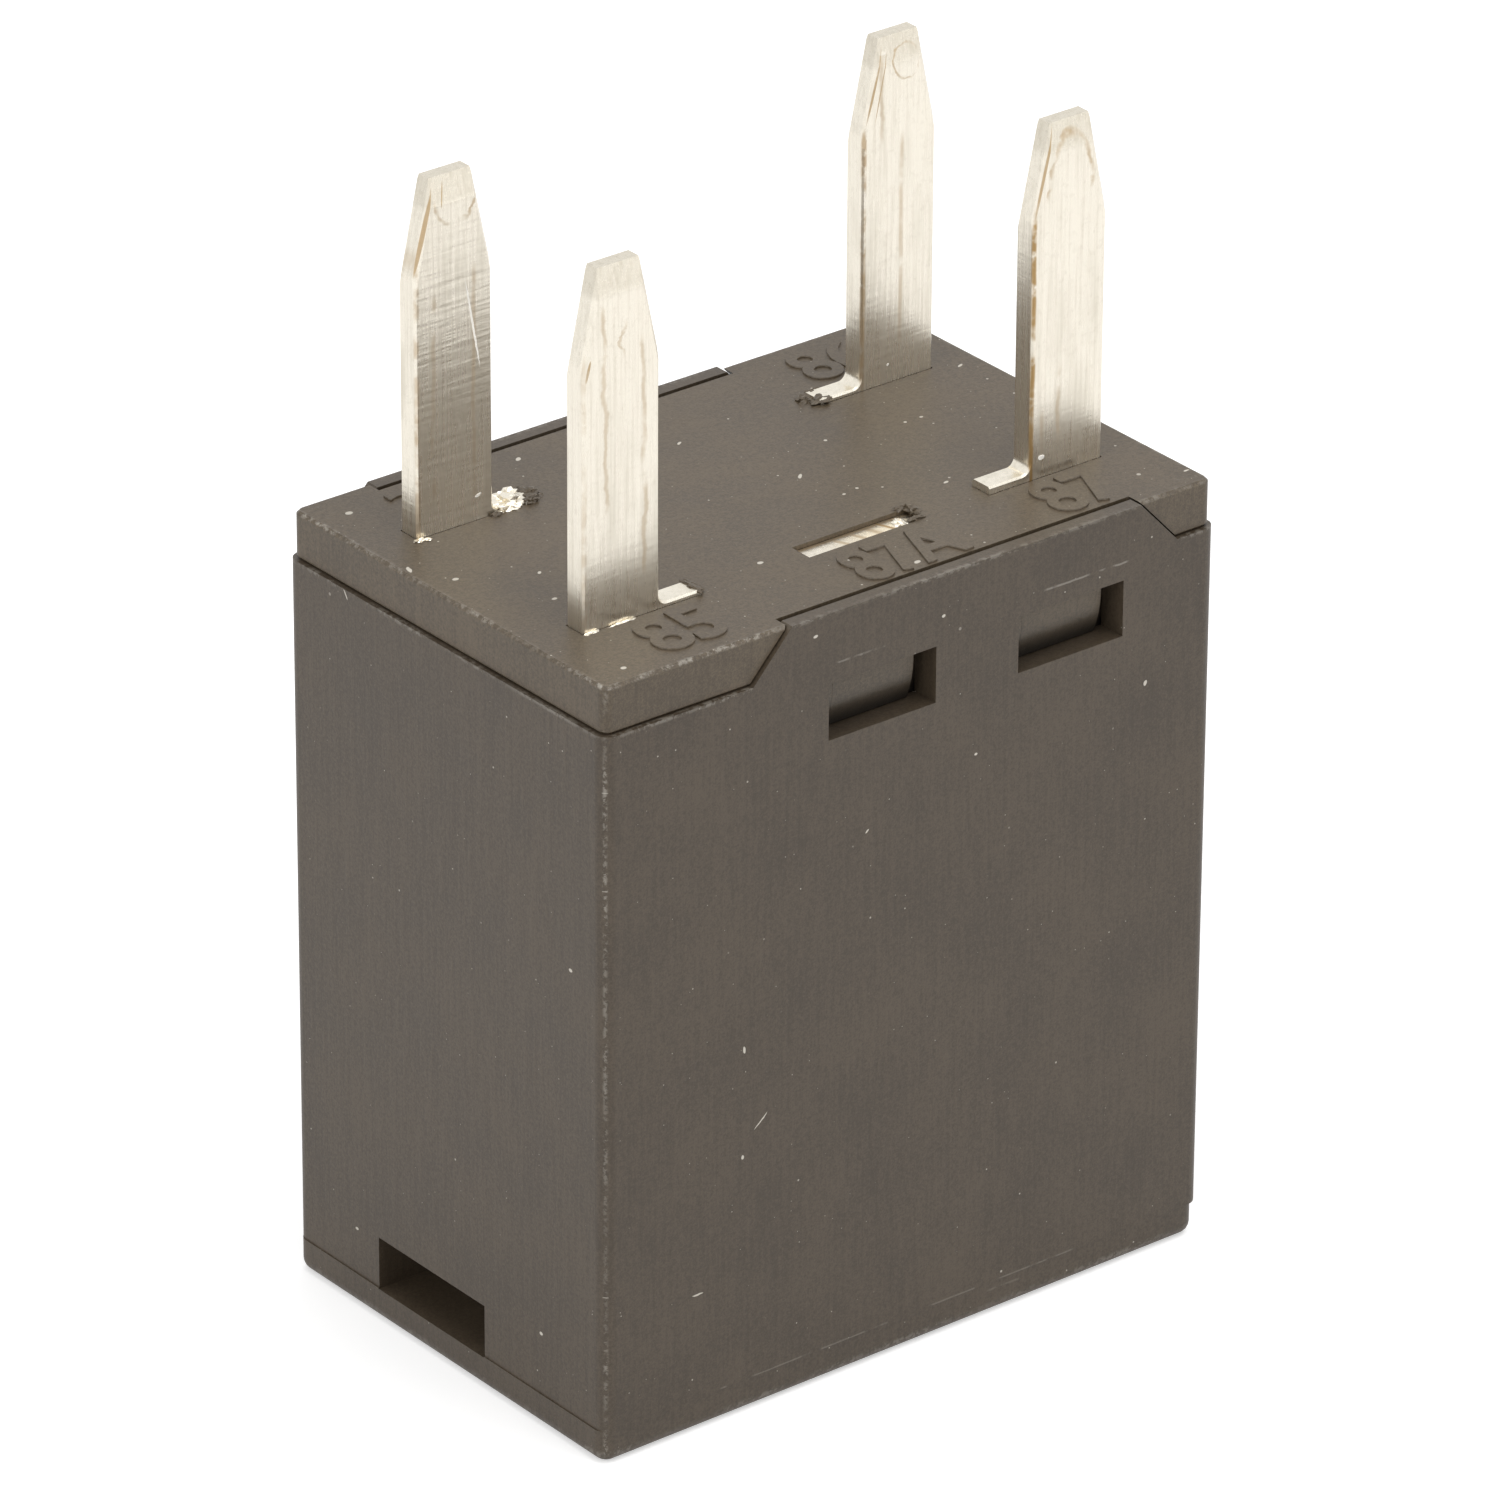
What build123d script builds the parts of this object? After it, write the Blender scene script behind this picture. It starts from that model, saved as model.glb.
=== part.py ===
from build123d import *
import os
from math import asin, cos, degrees, radians, sin

# Plug-in relay, standing on the closed end of its cover with the blades up.
# Millimetres. Origin: middle of the closed end's resting face. Z: towards the blade tips.
# X: along the long side. The front (-Y) has the row of terminals 85, 87a and 87.

# Cover: a cup whose two long sides are the same when it is turned half a turn.
cover_length = 23.2
cover_width = 15.4
rim_height = 24.25
wall = 1.0
floor_thickness = 1.1
corner_radius = 0.45
cavity_radius = 0.3
foot_radius = 0.42

# Mould parting line near the closed end, where the end band is a little off the body.
parting_height = 1.13
band_inset = 0.04
band_shift = 0.08

# Raised part of each long wall, which stands beside the header and is as high as it.
# Its foot ends at these distances from the cover's left and right ends, seen from the front.
raised_left = 5.475
raised_right = 1.575
raised_run = 1.45
raised_thickness = 0.5

# Snap windows in the long walls, two in each, between the ends of the raised part's foot.
window_left = 2.83
window_right = 2.07
window_spacing = 3.15
window_height = 1.85
window_below_rim = 0.75

# Blind slot for a puller, low in each short wall.
puller_width = 5.3
puller_height = 1.77
puller_depth = 2.2
puller_offset = 0.85
puller_wall = 0.6

# Header: a plate on the rim and a plug inside it, with skirts that carry the snap noses.
plate_thickness = 1.55
plate_inset = 0.13
plate_edge = 0.1
parting_groove = 0.1
raised_gap = 0.19
plug_depth = 1.65
plug_gap = 0.05
plug_radius = 0.25
skirt_drop = 1.4
skirt_thickness = 0.8
skirt_lead = 0.3
nose_side_gap = 0.5
nose_reach = 0.6
nose_foot_reach = 0.3
nose_top_gap = 0.05
nose_land = 0.3

# Terminals: pressed from one thickness of strip, each wider inside than its blade.
strip_thickness = 0.8
strip_width = 4.35
strip_gap = 0.02
blade_width = 2.8
blade_length = 11.4
blade_taper = 3.0
blade_tip_width = 1.5
blade_coin_length = 0.9
blade_tip_thickness = 0.46
blade_bevel = 0.06
blade_lead_bevel = 0.14
column_edge = 3.2
row_edge = 3.7
shoulder_heights = {"30": 0.1, "85": 0.15, "86": 0.15, "87": 0.25}
shoulder_radius = 0.3
crop_depth = 0.15
bend_radius = 0.4
tail_drop = 0.5
tab_gap = 0.5
arm_gap = 0.2

# Iron circuit: yoke, core and the hinge line at the yoke's lower outer edge.
# The core's radius is its share of the winding's.
yoke_thickness = 1.5
yoke_side_room = 2.1
yoke_neck_gap = 0.7
yoke_neck_height = 7.6
yoke_bend = 0.4
yoke_end_radius = 1.2
yoke_room = 1.0
hinge_z = 6.0
core_share = 0.42
tenon_step = 0.3
rivet_head_lip = 0.5
rivet_head_height = 0.5
pole_margin = 1.1
pole_thickness = 1.0
pole_edge = 0.2
yoke_overrun = 1.2

# Coil
flange_side_room = 1.4
flange_run_gap = 0.75
flange_thickness = 1.2
flange_corner = 1.1
flange_gap = 0.1
tube_wall = 0.5
core_gap = 0.05
winding_margin = 0.4
winding_gap = 0.02
peg_radius = 0.6
peg_height = 1.2
peg_gap = 0.03
peg_edge = 0.2
peg_inset = 0.7

# Wire ends and their posts on terminals 85 and 86
wire_radius = 0.1
wire_sides = 6
post_width = 0.7
post_drop = 5.4
post_gap = 0.7
lead_turns = 2
lead_pitch = 0.16
lead_height = 1.2
solder_radius = 0.8
solder_neck_radius = 0.7
solder_tip_radius = 0.5
solder_drip = 0.3
solder_widest = 0.4
solder_height = 1.1

# Armature and its leaf spring, drawn pulled in and then let down to rest
armature_thickness = 1.3
armature_overhang = 0.5
armature_end_radius = 2.4
armature_setback = 0.1
heel_radius = 1.1
leaf_thickness = 0.22
leaf_inset = 1.2
leaf_bend = 1.0
leaf_rise = 6.6
leaf_corner = 1.0
leaf_window_width = 2.4
leaf_window_rise = 1.6
leaf_window_reach = 1.3
rivet_radius = 0.6
rivet_flare = 0.2
rivet_flare_depth = 0.3
rivet_dome_radius = 0.9
rivet_dome_flat = 0.6
rivet_dome_height = 0.28
rivet_inset = 1.1
rivet_gap = 0.02
yoke_rivet_rise = 4.6
armature_rivet_reach = 2.3

# Contacts
contact_inset = 1.25
contact_opening = 0.74
contact_radius = 1.4
contact_shank = 0.7
contact_dome = 0.16
contact_flat = 0.3
moving_head = 0.6
moving_back_head = 0.5
fixed_head = 0.55
fixed_tail_radius = 1.05
fixed_tail_height = 0.35
closed_gap = 0.03
rest_gap = 0.02
lug_margin = 0.5
lug_run_width = 1.6
lug_run_gap = 0.5
contact_arm_width = 3.6

# Heights and places that follow from the sizes above
header_top = rim_height + plate_thickness
plug_z = rim_height - plug_depth
skirt_z = plug_z - skirt_drop
cavity_length = cover_length - 2 * wall
cavity_width = cover_width - 2 * wall
plug_length = cavity_length - 2 * plug_gap
plug_width = cavity_width - 2 * plug_gap
window_z = rim_height - window_below_rim - window_height / 2
raised_start = raised_left - cover_length / 2
raised_end = cover_length / 2 - raised_right
window_start = raised_start + window_left
window_end = raised_end - window_right
window_width = (window_end - window_start - window_spacing) / 2
blade_tip_z = header_top + blade_length
column_x = cover_length / 2 - column_edge
row_y = cover_width / 2 - row_edge
strip_outer = column_x + blade_width / 2
strip_inner = strip_outer - strip_width
middle_left = -blade_width / 2
middle_right = middle_left + strip_width
contact_x = strip_inner + contact_inset
rest_run_right = strip_inner - lug_run_gap
rest_run_left = rest_run_right - lug_run_width
make_run_right = contact_x + contact_radius
rest_lug_right = contact_x + contact_radius
lug_end_y = contact_radius + lug_margin

yoke_x = yoke_room - cavity_length / 2
yoke_top = plug_z
yoke_width = cavity_width - 2 * yoke_side_room
yoke_neck_width = 2 * (row_y - strip_thickness / 2 - yoke_neck_gap)
flange_top = yoke_top - yoke_thickness
coil_left = yoke_x + yoke_thickness + flange_gap
coil_right = rest_run_left - flange_run_gap
coil_width = cavity_width - 2 * flange_side_room
coil_x = (coil_left + coil_right) / 2
flange_half = min(coil_right - coil_left, coil_width) / 2
winding_radius = flange_half - winding_margin
pole_radius = flange_half - pole_margin
core_radius = core_share * winding_radius
tenon_radius = core_radius - tenon_step
rivet_head_radius = tenon_radius + rivet_head_lip
pole_top = hinge_z + pole_thickness
lower_flange = pole_top + flange_gap
upper_flange = flange_top - flange_thickness
winding_base = lower_flange + flange_thickness
peg_x = (middle_left - strip_inner) / 2
peg_y = flange_half - peg_inset
arm_z = flange_top + arm_gap
tab_right = coil_x - rivet_head_radius - tab_gap
tab_end = plug_z + strip_thickness + bend_radius + strip_gap
post_x_right = coil_x + flange_half + post_gap + post_width / 2
post_x_left = yoke_x + yoke_thickness - post_width / 2 - flange_gap
post_foot = yoke_top - post_drop

armature_reach = coil_x + pole_radius + armature_overhang - yoke_x
leaf_width = yoke_width - 2 * leaf_inset
rivet_spread = leaf_width / 2 - rivet_inset
contact_reach = contact_x - yoke_x
rest_angle = degrees(asin(contact_opening / contact_reach))
armature_under = hinge_z - armature_thickness
leaf_under = armature_under - leaf_thickness
make_face_z = armature_under + moving_head + closed_gap
make_lug_z = make_face_z + fixed_head
rest_face_z = leaf_under - moving_back_head - contact_opening - rest_gap
rest_lug_z = rest_face_z - fixed_head - strip_thickness

hinge_line = Axis((yoke_x, 0, hinge_z), (0, 1, 0))


def at_rest(piece):
    """Lets a piece that was drawn pulled in down to where it rests."""
    return piece.rotate(hinge_line, rest_angle)


def resting_point(reach, depth):
    """X and Z at rest of a point at a reach from the hinge line and a depth under the armature's top."""
    turn = radians(rest_angle)
    return (
        yoke_x + reach * cos(turn) - depth * sin(turn),
        hinge_z - reach * sin(turn) - depth * cos(turn),
    )


def resting_point_at(x, depth):
    """The same at a given X."""
    turn = radians(rest_angle)
    return resting_point((x - yoke_x + depth * sin(turn)) / cos(turn), depth)


def half_turns(piece):
    """A piece of one long side and its twin on the other."""
    return [piece, Rot(0, 0, 180) * piece]


def across(outline, y_back, depth):
    """Solid from an outline in X and Z, from y_back towards the front."""
    return extrude(Plane.XZ.offset(-y_back) * outline, amount=depth, dir=(0, -1, 0))


def along(outline, x_start, length):
    """Solid from an outline in Y and Z, from x_start to the right."""
    return extrude(Plane.YZ.offset(x_start) * outline, amount=length, dir=(1, 0, 0))


def slab(x0, x1, y0, y1, z0, z1):
    """Box between two values on each axis."""
    return Pos((x0 + x1) / 2, (y0 + y1) / 2, (z0 + z1) / 2) * Box(x1 - x0, y1 - y0, z1 - z0)


def turned(profile, x, y):
    """Solid of revolution about the upright line at x and y, from a profile of radius and height."""
    face = Plane.XZ * Polygon(*profile, align=None)
    return Pos(x, y, 0) * revolve(face, Axis.Z, 360)


def raised_outline(grow):
    """Outline in X and Z of a long wall's raised part on the front, grown at its ends."""
    left = raised_start - grow
    right = raised_end + grow
    return Polygon(
        (left, rim_height),
        (right, rim_height),
        (right - raised_run, header_top),
        (left + raised_run, header_top),
        align=None,
    )


def window_places():
    """X of the front windows' middles."""
    return [window_start + window_width / 2, window_end - window_width / 2]


def make_cover():
    band_plan = RectangleRounded(cover_length - 2 * band_inset, cover_width - 2 * band_inset, corner_radius)
    band = extrude(Pos(-band_shift, 0, 0) * band_plan, amount=parting_height)
    band = fillet(band.faces().sort_by(Axis.Z)[0].edges(), foot_radius)
    body_plan = RectangleRounded(cover_length, cover_width, corner_radius)
    body = extrude(Pos(0, 0, parting_height) * body_plan, amount=rim_height - parting_height)
    cavity_plan = RectangleRounded(cavity_length, cavity_width, cavity_radius)
    cavity = extrude(Pos(0, 0, floor_thickness) * cavity_plan, amount=header_top)
    cover = band + body - cavity

    pocket_top = floor_thickness + puller_height
    pocket_inner = -cover_length / 2 + puller_depth
    half_slot = puller_width / 2
    boss = slab(
        -cover_length / 2 + wall / 2,
        pocket_inner + puller_wall,
        puller_offset - half_slot - puller_wall,
        puller_offset + half_slot + puller_wall,
        floor_thickness,
        pocket_top + puller_wall,
    )
    slot = slab(
        -cover_length / 2 - wall,
        pocket_inner,
        puller_offset - half_slot,
        puller_offset + half_slot,
        floor_thickness,
        pocket_top,
    )
    raised = across(raised_outline(0), -cover_width / 2 + raised_thickness, raised_thickness)
    for piece in half_turns(raised) + half_turns(boss):
        cover += piece
    for piece in half_turns(slot):
        cover -= piece
    for x in window_places():
        window = Pos(x, -cover_width / 2, window_z) * Box(window_width, 2.5 * wall, window_height)
        for piece in half_turns(window):
            cover -= piece
    return cover


def snap_nose(x):
    """Nose on the front skirt: a flat catch on top and a rounded ramp below."""
    top = window_z + window_height / 2 - nose_top_gap
    foot = window_z - window_height / 2 + nose_top_gap
    face = -plug_width / 2
    root = face + skirt_thickness / 2
    crest = face - nose_reach
    ramp = TangentArc((crest, top - nose_land), (face - nose_foot_reach, foot), tangent=(0, -1))
    back = Polyline(
        (face - nose_foot_reach, foot),
        (root, foot),
        (root, top),
        (crest, top),
        (crest, top - nose_land),
    )
    outline = make_face([ramp, back])
    width = window_width - 2 * nose_side_gap
    return along(outline, x - width / 2, width)


def slot_cut(left, right, y, base):
    """Slot through the header for a strip that spans left to right."""
    half = strip_thickness / 2 + strip_gap
    return slab(left - strip_gap, right + strip_gap, y - half, y + half, base, header_top + plate_thickness)


def make_header():
    inset = 2 * plate_inset
    plan = RectangleRounded(cover_length - inset, cover_width - inset, corner_radius - plate_inset)
    plate = extrude(Pos(0, 0, rim_height) * plan, amount=plate_thickness)
    plate = chamfer(plate.faces().sort_by(Axis.Z)[-1].edges(), plate_edge)
    plate = chamfer(plate.faces().sort_by(Axis.Z)[0].edges(), parting_groove)
    relief = across(raised_outline(raised_gap / 2), -cover_width / 2 + raised_thickness + raised_gap, wall)
    for piece in half_turns(relief):
        plate -= piece

    plug_plan = RectangleRounded(plug_length, plug_width, plug_radius)
    header = plate + extrude(Pos(0, 0, plug_z) * plug_plan, amount=plug_depth)
    face = -plug_width / 2
    skirt_outline = Polygon(
        (face + skirt_lead, skirt_z),
        (face + skirt_thickness, skirt_z),
        (face + skirt_thickness, plug_z),
        (face, plug_z),
        (face, skirt_z + skirt_lead),
        align=None,
    )
    skirt = along(skirt_outline, -plug_length / 2 + plug_radius, plug_length - 2 * plug_radius)
    for piece in half_turns(skirt):
        header += piece
    for x in window_places():
        for piece in half_turns(snap_nose(x)):
            header += piece

    spans = (
        (-strip_outer, -strip_inner, -row_y),
        (-strip_outer, -strip_inner, row_y),
        (strip_inner, strip_outer, -row_y),
        (strip_inner, strip_outer, row_y),
        (middle_left, middle_right, -row_y),
    )
    for left, right, y in spans:
        header -= slot_cut(left, right, y, skirt_z - wall)
    tab_room_y = row_y + strip_thickness / 2 + strip_gap
    header -= slab(
        -strip_outer - strip_gap, tab_right + strip_gap, -strip_gap, tab_room_y, plug_z - strip_gap, tab_end
    )
    rivet_room = Cylinder(rivet_head_radius + strip_gap, 2 * (rivet_head_height + strip_gap))
    header -= Pos(coil_x, 0, plug_z) * rivet_room
    peg_hole = Cylinder(peg_radius + peg_gap, 2 * (peg_height + peg_gap))
    for side in (-1, 1):
        header -= Pos(peg_x, side * peg_y, plug_z) * peg_hole
    return header


def strip_side(foot):
    """Side outline of a terminal's strip, thinned towards the blade's tip, about its own middle."""
    half = strip_thickness / 2
    half_tip = blade_tip_thickness / 2
    return Polygon(
        (-half, foot),
        (half, foot),
        (half, blade_tip_z - blade_coin_length),
        (half_tip, blade_tip_z),
        (-half_tip, blade_tip_z),
        (-half, blade_tip_z - blade_coin_length),
        align=None,
    )


def bladed_strip(name, side, y, foot, extra=None):
    """Flat part of a corner terminal: tapered blade, shoulder towards the middle, strip down to foot."""
    middle = side * column_x
    half = blade_width / 2
    half_tip = blade_tip_width / 2
    blade = Polygon(
        (middle - half, foot),
        (middle + half, foot),
        (middle + half, blade_tip_z - blade_taper),
        (middle + half_tip, blade_tip_z),
        (middle - half_tip, blade_tip_z),
        (middle - half, blade_tip_z - blade_taper),
        align=None,
    )
    shoulder_top = header_top + shoulder_heights[name]
    low, high = sorted((side * strip_inner, side * strip_outer))
    shoulder = Pos((low + high) / 2, (foot + shoulder_top) / 2) * Rectangle(high - low, shoulder_top - foot)
    outline = blade + shoulder
    inner_corner = side * (column_x - half)
    corner = outline.vertices().sort_by_distance((inner_corner, shoulder_top, 0))[0]
    outline = fillet(corner, shoulder_radius)
    if extra is not None:
        outline += extra
    strip = across(outline, y + strip_thickness / 2, strip_thickness)
    reach = cover_length
    strip = strip & along(Pos(y, 0) * strip_side(0), -reach, 2 * reach)
    bevel_from = shoulder_top + shoulder_radius
    edges = strip.edges().filter_by(Axis.Z).filter_by(lambda e: e.center().Z > bevel_from)
    strip = chamfer(edges, blade_bevel)
    lead_from = blade_tip_z - blade_taper
    lead_to = blade_tip_z - blade_coin_length
    leading = strip.edges().filter_by(
        lambda e: lead_from < e.center().Z < lead_to and abs(e.center().X - middle) < half - blade_bevel
    )
    return chamfer(leading, blade_lead_bevel)


def bent_strip(y, turn_y, z_face, z_end, x0, x1):
    """Strip that comes from z_end to a flat lug with its underside at z_face, and on to turn_y."""
    lean = 1 if turn_y > y else -1
    half = strip_thickness / 2
    outer = (y - lean * half, z_face)
    inner = (y + lean * half, z_face + strip_thickness)
    outline = Polygon(
        outer,
        (turn_y, z_face),
        (turn_y, z_face + strip_thickness),
        inner,
        (y + lean * half, z_end),
        (y - lean * half, z_end),
        align=None,
    )
    outer_corner = outline.vertices().sort_by_distance((*outer, 0))[0]
    outline = fillet(outer_corner, bend_radius + strip_thickness)
    inner_corner = outline.vertices().sort_by_distance((*inner, 0))[0]
    outline = fillet(inner_corner, bend_radius)
    return along(outline, x0, x1 - x0)


def rectangle_between(x0, x1, z0, z1):
    """Rectangle in a terminal's front outline."""
    return Pos((x0 + x1) / 2, (z0 + z1) / 2) * Rectangle(x1 - x0, z1 - z0)


def make_terminal_30():
    strip = bladed_strip("30", -1, row_y, tab_end)
    tab = bent_strip(row_y, 0, plug_z, tab_end, -strip_outer, tab_right)
    return strip + tab


def make_terminal_85():
    post = rectangle_between(post_x_left - post_width / 2, post_x_left + post_width / 2, post_foot, plug_z)
    return bladed_strip("85", -1, -row_y, plug_z - tail_drop, post)


def make_terminal_86():
    post_left = post_x_right - post_width / 2
    arm = rectangle_between(post_left, strip_outer, arm_z, plug_z)
    post = rectangle_between(post_left, post_x_right + post_width / 2, post_foot, plug_z)
    return bladed_strip("86", 1, row_y, plug_z, arm + post)


def contact_hole(x, z):
    """Hole for a fixed contact's shank."""
    return Pos(x, 0, z) * Cylinder(contact_shank + rivet_gap, 3 * strip_thickness)


def make_terminal_87():
    run = rectangle_between(strip_inner, make_run_right, make_lug_z + 2 * strip_thickness, plug_z)
    strip = bladed_strip("87", 1, -row_y, plug_z - tail_drop, run)
    end = make_lug_z + 3 * strip_thickness
    lug = bent_strip(-row_y, lug_end_y, make_lug_z, end, strip_inner, make_run_right)
    return strip + lug - contact_hole(contact_x, make_lug_z)


def make_terminal_87a():
    top = header_top - crop_depth
    stub = rectangle_between(middle_left, middle_right, arm_z, top)
    arm = rectangle_between(middle_left, rest_run_right, arm_z, plug_z)
    run = rectangle_between(rest_run_left, rest_run_right, rest_lug_z + 2 * strip_thickness, plug_z)
    strip = across(stub + arm + run, -row_y + strip_thickness / 2, strip_thickness)
    end = rest_lug_z + 3 * strip_thickness
    lug = bent_strip(-row_y, lug_end_y, rest_lug_z, end, rest_run_left, rest_run_right)
    lug_top = rest_lug_z + strip_thickness
    wing = slab(rest_run_left, rest_lug_right, -lug_end_y, lug_end_y, rest_lug_z, lug_top)
    return strip + lug + wing - contact_hole(contact_x, rest_lug_z)


def make_yoke():
    inner = yoke_x + yoke_thickness
    right = coil_x + rivet_head_radius + yoke_overrun
    outline = Polygon(
        (yoke_x, hinge_z),
        (inner, hinge_z),
        (inner, flange_top),
        (right, flange_top),
        (right, yoke_top),
        (yoke_x, yoke_top),
        align=None,
    )
    inside = outline.vertices().sort_by_distance((inner, flange_top, 0))[0]
    outline = fillet(inside, yoke_bend)
    outside = outline.vertices().sort_by_distance((yoke_x, yoke_top, 0))[0]
    outline = fillet(outside, yoke_bend + yoke_thickness)
    yoke = across(outline, yoke_width / 2, yoke_width)
    neck_z = yoke_top - yoke_neck_height
    for side in (-1, 1):
        low, high = sorted((side * yoke_neck_width / 2, side * yoke_width))
        yoke -= slab(yoke_x - wall, right + wall, low, high, neck_z, yoke_top + wall)
    ends = yoke.edges().filter_by(Axis.Z).filter_by(lambda e: e.center().X > right - rivet_gap)
    yoke = fillet(ends, yoke_end_radius)
    yoke -= Pos(coil_x, 0, yoke_top) * Cylinder(tenon_radius + rivet_gap, 3 * yoke_thickness)
    for side in (-1, 1):
        yoke -= yoke_rivet(side * rivet_spread, rivet_gap)
    return yoke


def make_core():
    profile = (
        (0, hinge_z),
        (pole_radius - pole_edge, hinge_z),
        (pole_radius, hinge_z + pole_edge),
        (pole_radius, pole_top),
        (core_radius, pole_top),
        (core_radius, flange_top),
        (tenon_radius, flange_top),
        (tenon_radius, yoke_top),
        (rivet_head_radius, yoke_top),
        (rivet_head_radius - pole_edge, yoke_top + rivet_head_height),
        (0, yoke_top + rivet_head_height),
    )
    return turned(profile, coil_x, 0)


def make_bobbin():
    plan = chamfer(Rectangle(2 * flange_half, 2 * flange_half).vertices(), flange_corner)
    bobbin = extrude(Pos(coil_x, 0, lower_flange) * plan, amount=flange_thickness)
    upper = extrude(Pos(coil_x, 0, upper_flange) * plan, amount=flange_thickness)
    bobbin += chamfer(upper.faces().sort_by(Axis.Z)[-1].edges(), yoke_bend)
    bore = core_radius + core_gap
    middle = (lower_flange + flange_top) / 2
    height = flange_top - lower_flange
    bobbin += Pos(coil_x, 0, middle) * Cylinder(bore + tube_wall, height)
    bobbin -= Pos(coil_x, 0, middle) * Cylinder(bore, 2 * height)
    for side in (-1, 1):
        foot = Pos(peg_x, side * peg_y, flange_top) * Circle(peg_radius)
        peg = extrude(foot, amount=yoke_thickness + peg_height)
        bobbin += chamfer(peg.faces().sort_by(Axis.Z)[-1].edges(), peg_edge)
    return bobbin


def make_winding():
    bore = core_radius + core_gap + tube_wall + winding_gap
    base = winding_base + winding_gap
    top = upper_flange - winding_gap
    return turned(((bore, base), (winding_radius, base), (winding_radius, top), (bore, top)), coil_x, 0)


def make_lead(post_x, post_y):
    """End of the winding's wire: a straight run to the post and turns round it."""
    first = post_foot + lead_height
    ring_radius = (post_width ** 2 + strip_thickness ** 2) ** 0.5 / 2 + wire_radius + winding_gap
    section = Plane.XZ * Pos(ring_radius, 0) * RegularPolygon(wire_radius, wire_sides)
    ring = revolve(section, Axis.Z, 360)
    lead = Part()
    for turn in range(lead_turns):
        lead += Pos(post_x, post_y, first + turn * lead_pitch) * ring
    height = first + (lead_turns - 1) * lead_pitch
    outward = Vector(post_x - coil_x, post_y, 0)
    start = Vector(coil_x, 0, height) + outward.normalized() * winding_radius
    end = Vector(post_x, post_y, height) - outward.normalized() * ring_radius
    path = Line(start, end)
    return lead + sweep(Plane(start, z_dir=path % 0) * RegularPolygon(wire_radius, wire_sides), path)


def lead_places():
    """Posts that carry the wire ends."""
    return {"85": (post_x_left, -row_y), "86": (post_x_right, row_y)}


def make_solder(terminals, leads):
    """Drop of solder at the foot of each post, round the post and the wire."""
    drops = []
    for name, (x, y) in lead_places().items():
        profile = (
            (0, post_foot - solder_drip),
            (solder_tip_radius, post_foot - solder_drip),
            (solder_radius, post_foot + solder_widest),
            (solder_neck_radius, post_foot + solder_height),
            (0, post_foot + solder_height),
        )
        drops.append(turned(profile, x, y) - terminals[name] - leads[name])
    return Compound(children=[solid for drop in drops for solid in drop.solids()])


def rivet_profile(flush, outer, gap):
    """Half section of a rivet from its flush flared end up to a dome, along its own axis."""
    return (
        (0, flush),
        (rivet_radius + rivet_flare + gap, flush),
        (rivet_radius + gap, flush + rivet_flare_depth),
        (rivet_radius + gap, outer),
        (rivet_dome_radius, outer),
        (rivet_dome_flat, outer + rivet_dome_height),
        (0, outer + rivet_dome_height),
    )


def yoke_rivet(y, gap):
    """Rivet through the leaf's upright end and the yoke, its dome on the outside."""
    profile = rivet_profile(0, yoke_thickness + leaf_thickness, gap)
    rivet = turned(profile, 0, 0)
    return Pos(yoke_x + yoke_thickness, y, hinge_z + yoke_rivet_rise) * Rot(0, -90, 0) * rivet


def armature_rivet(y, gap):
    """Rivet through the armature and the leaf under it, its dome below."""
    profile = rivet_profile(0, armature_thickness + leaf_thickness, gap)
    rivet = turned(profile, 0, 0)
    return at_rest(Pos(yoke_x + armature_rivet_reach, y, hinge_z) * Rot(180, 0, 0) * rivet)


def make_armature():
    left = yoke_x + armature_setback
    right = yoke_x + armature_reach
    outline = Polygon(
        (left, armature_under), (right, armature_under), (right, hinge_z), (left, hinge_z), align=None
    )
    heel = outline.vertices().sort_by_distance((left, armature_under, 0))[0]
    outline = fillet(heel, heel_radius)
    plate = across(outline, yoke_width / 2, yoke_width)
    ends = plate.edges().filter_by(Axis.Z).filter_by(lambda e: e.center().X > coil_x)
    plate = at_rest(fillet(ends, armature_end_radius))
    for side in (-1, 1):
        plate -= armature_rivet(side * rivet_spread, rivet_gap)
    return plate


def leaf_section():
    """Section of the bent leaf in X and Z: upright on the yoke, round the heel, under the armature."""
    tip = contact_reach + contact_radius + lug_margin
    outside = armature_thickness + leaf_thickness
    top = hinge_z + leaf_rise
    inner = resting_point_at(yoke_x, armature_thickness)
    outer = resting_point_at(yoke_x - leaf_thickness, outside)
    outline = Polygon(
        inner,
        resting_point(tip, armature_thickness),
        resting_point(tip, outside),
        outer,
        (yoke_x - leaf_thickness, top),
        (yoke_x, top),
        align=None,
    )
    outer_corner = outline.vertices().sort_by_distance((*outer, 0))[0]
    outline = fillet(outer_corner, leaf_bend + leaf_thickness)
    inner_corner = outline.vertices().sort_by_distance((*inner, 0))[0]
    return fillet(inner_corner, leaf_bend)


def leaf_plan():
    """Outline of the leaf from above: wide on the armature, narrow towards the contact, with a round end."""
    shoulder_x = yoke_x + armature_reach - lug_margin
    neck_x = rest_run_left
    half = leaf_width / 2
    half_arm = contact_arm_width / 2
    body = Polygon(
        (yoke_x - wall, -half),
        (shoulder_x, -half),
        (neck_x, -half_arm),
        (contact_x, -half_arm),
        (contact_x, half_arm),
        (neck_x, half_arm),
        (shoulder_x, half),
        (yoke_x - wall, half),
        align=None,
    )
    return body + Pos(contact_x, 0) * Circle(half_arm)


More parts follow.
